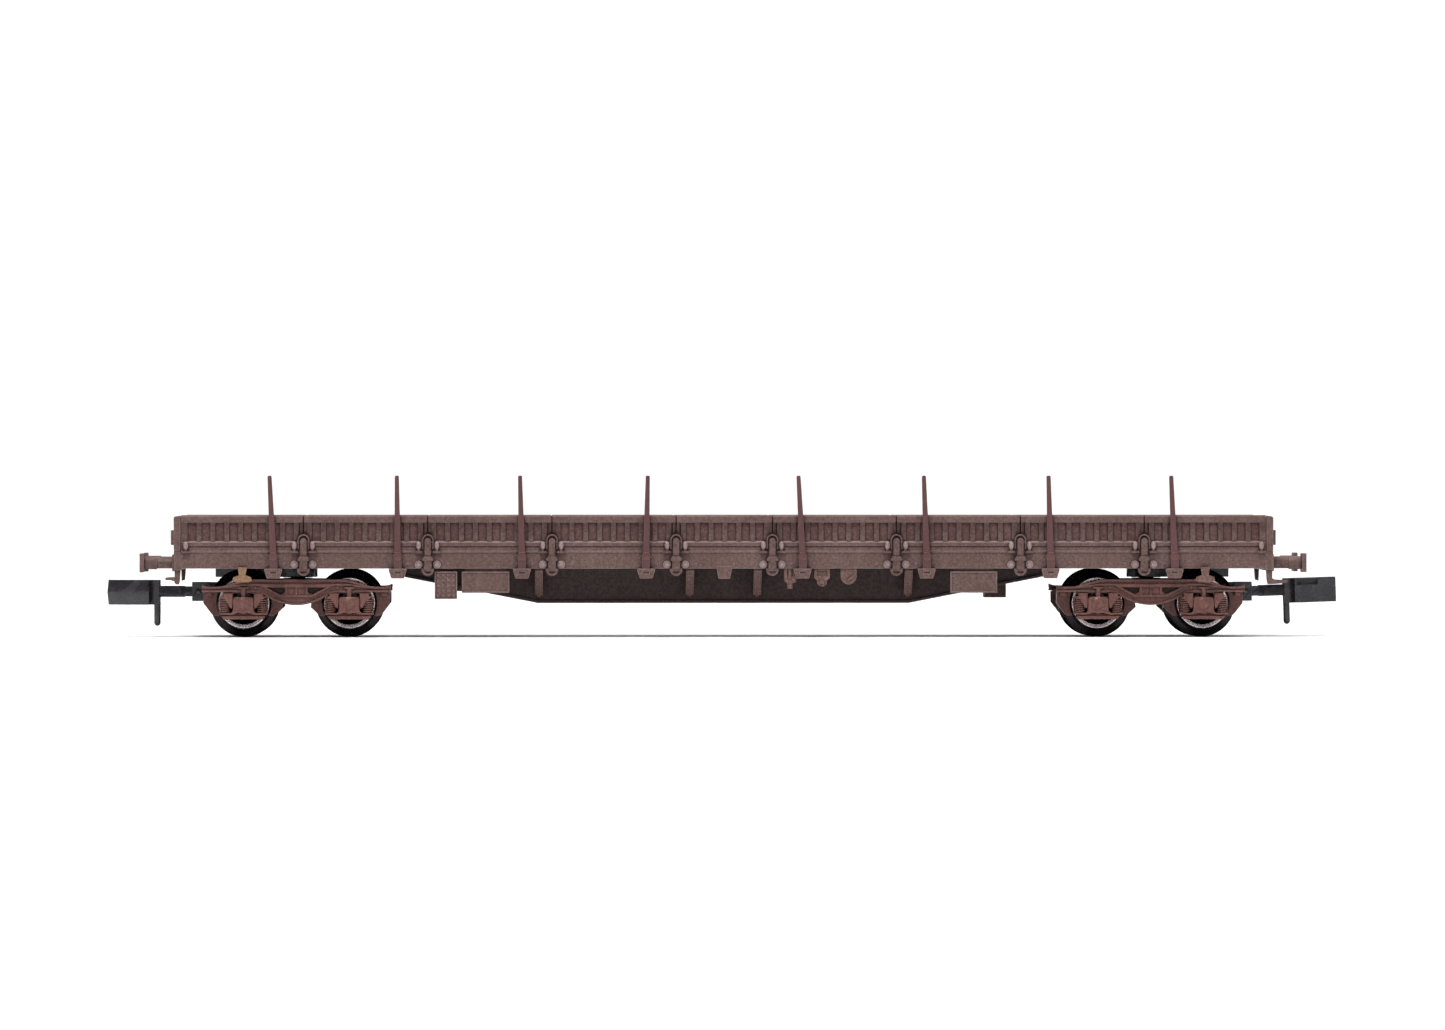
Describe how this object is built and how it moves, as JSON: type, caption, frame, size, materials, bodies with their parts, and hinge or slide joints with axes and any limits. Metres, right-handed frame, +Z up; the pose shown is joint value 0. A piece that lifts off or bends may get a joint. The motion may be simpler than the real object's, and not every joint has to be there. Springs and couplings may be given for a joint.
{
  "type": "model flat car",
  "caption": "Model flat car in 1:160 with low ribbed drop sides, plug-in stakes, swivelling bogies, turning metal wheels and swinging hook couplers.",
  "frame": {"origin": "on the ground plane that the wheel flanges touch, under the middle of the car", "axes": "+X towards the front coupler, +Y towards the left side, which has empty stake pockets, +Z up"},
  "size_m": [0.1318, 0.0186, 0.0172],
  "materials": {
    "body_brown": "matt, lightly dusted",
    "stake_brown": "satin",
    "bogie_brown": "satin",
    "fitting_brown": "matt, worn",
    "coupler_black": "gloss",
    "wheel_metal": "blackened, bright face",
    "axle_steel": "turned",
    "weight_steel": "rolled",
    "screw_steel": "blackened",
    "spring_steel": "drawn",
    "bush_plastic": "natural"
  },
  "bodies": {
    "car_body": {"floor_deck": "body_brown", "ballast_weight": "weight_steel", "underframe": "body_brown", "headstock_front": "body_brown", "headstock_rear": "body_brown", "side_sill_right": "body_brown", "side_sill_left": "body_brown", "girder_right": "body_brown", "girder_left": "body_brown", "cross_bearers": "body_brown", "drop_sides_right": "body_brown", "drop_sides_left": "body_brown", "hinge_posts_right": "body_brown", "hinge_posts_left": "body_brown", "latch_handles_right": "body_brown", "latch_handles_left": "body_brown", "corner_posts": "body_brown", "end_board_front": "body_brown", "end_board_rear": "body_brown", "stake_pockets_right": "body_brown", "stake_pockets_left": "body_brown", "stakes": "stake_brown", "buffer_casings": "body_brown", "buffer_plungers": "body_brown", "label_boards": "body_brown", "brake_boxes": "body_brown", "brake_levers": "fitting_brown", "rope_hooks": "fitting_brown", "end_steps": "body_brown", "coupler_guide_front": "coupler_black", "coupler_guide_rear": "coupler_black", "pivot_screw_front": "screw_steel", "pivot_screw_rear": "screw_steel", "link_pin_front": "screw_steel", "link_pin_rear": "screw_steel", "centring_spring_front": "spring_steel", "centring_spring_rear": "spring_steel"},
    "bogie_front": {"bogie_frame_front": "bogie_brown", "brake_shoes_front": "bogie_brown"},
    "bogie_rear": {"bogie_frame_rear": "bogie_brown", "brake_shoes_rear": "bogie_brown"},
    "wheelset_1": {"axle_1": "axle_steel", "wheels_1": "wheel_metal", "wheel_bush_1": "bush_plastic"},
    "wheelset_2": {"axle_2": "axle_steel", "wheels_2": "wheel_metal", "wheel_bush_2": "bush_plastic"},
    "wheelset_3": {"axle_3": "axle_steel", "wheels_3": "wheel_metal", "wheel_bush_3": "bush_plastic"},
    "wheelset_4": {"axle_4": "axle_steel", "wheels_4": "wheel_metal", "wheel_bush_4": "bush_plastic"},
    "link_front": {"coupler_link_front": "coupler_black"},
    "head_front": {"coupler_head_front": "coupler_black"},
    "link_rear": {"coupler_link_rear": "coupler_black"},
    "head_rear": {"coupler_head_rear": "coupler_black"}
  },
  "joints": [
    {"name": "bogie_swivel_front", "type": "hinge", "parent": "car_body", "child": "bogie_front", "pos_m": [0.0455, 0, 0.00633], "axis": [0, 0, 1], "range_deg": [-13, 13]},
    {"name": "bogie_swivel_rear", "type": "hinge", "parent": "car_body", "child": "bogie_rear", "pos_m": [-0.0455, 0, 0.00633], "axis": [0, 0, -1], "range_deg": [-13, 13]},
    {"name": "wheelset_1_spin", "type": "hinge", "parent": "bogie_front", "child": "wheelset_1", "pos_m": [0.05112, 0, 0.00365], "axis": [0, 1, 0], "continuous": true},
    {"name": "wheelset_2_spin", "type": "hinge", "parent": "bogie_front", "child": "wheelset_2", "pos_m": [0.03988, 0, 0.00365], "axis": [0, 1, 0], "continuous": true},
    {"name": "wheelset_3_spin", "type": "hinge", "parent": "bogie_rear", "child": "wheelset_3", "pos_m": [-0.03988, 0, 0.00365], "axis": [0, 1, 0], "continuous": true},
    {"name": "wheelset_4_spin", "type": "hinge", "parent": "bogie_rear", "child": "wheelset_4", "pos_m": [-0.05112, 0, 0.00365], "axis": [0, 1, 0], "continuous": true},
    {"name": "link_swing_front", "type": "hinge", "parent": "car_body", "child": "link_front", "pos_m": [0.0494, 0, 0.00533], "axis": [0, 0, 1], "range_deg": [-8, 8], "stiffness_Nm_per_rad": 0.0002},
    {"name": "link_swing_rear", "type": "hinge", "parent": "car_body", "child": "link_rear", "pos_m": [-0.0494, 0, 0.00533], "axis": [0, 0, -1], "range_deg": [-8, 8], "stiffness_Nm_per_rad": 0.0002},
    {"name": "head_lift_front", "type": "hinge", "parent": "link_front", "child": "head_front", "pos_m": [0.0561, 0, 0.00483], "axis": [0, -1, 0], "range_deg": [-2, 6]},
    {"name": "head_lift_rear", "type": "hinge", "parent": "link_rear", "child": "head_rear", "pos_m": [-0.0561, 0, 0.00483], "axis": [0, 1, 0], "range_deg": [0, 8]}
  ]
}
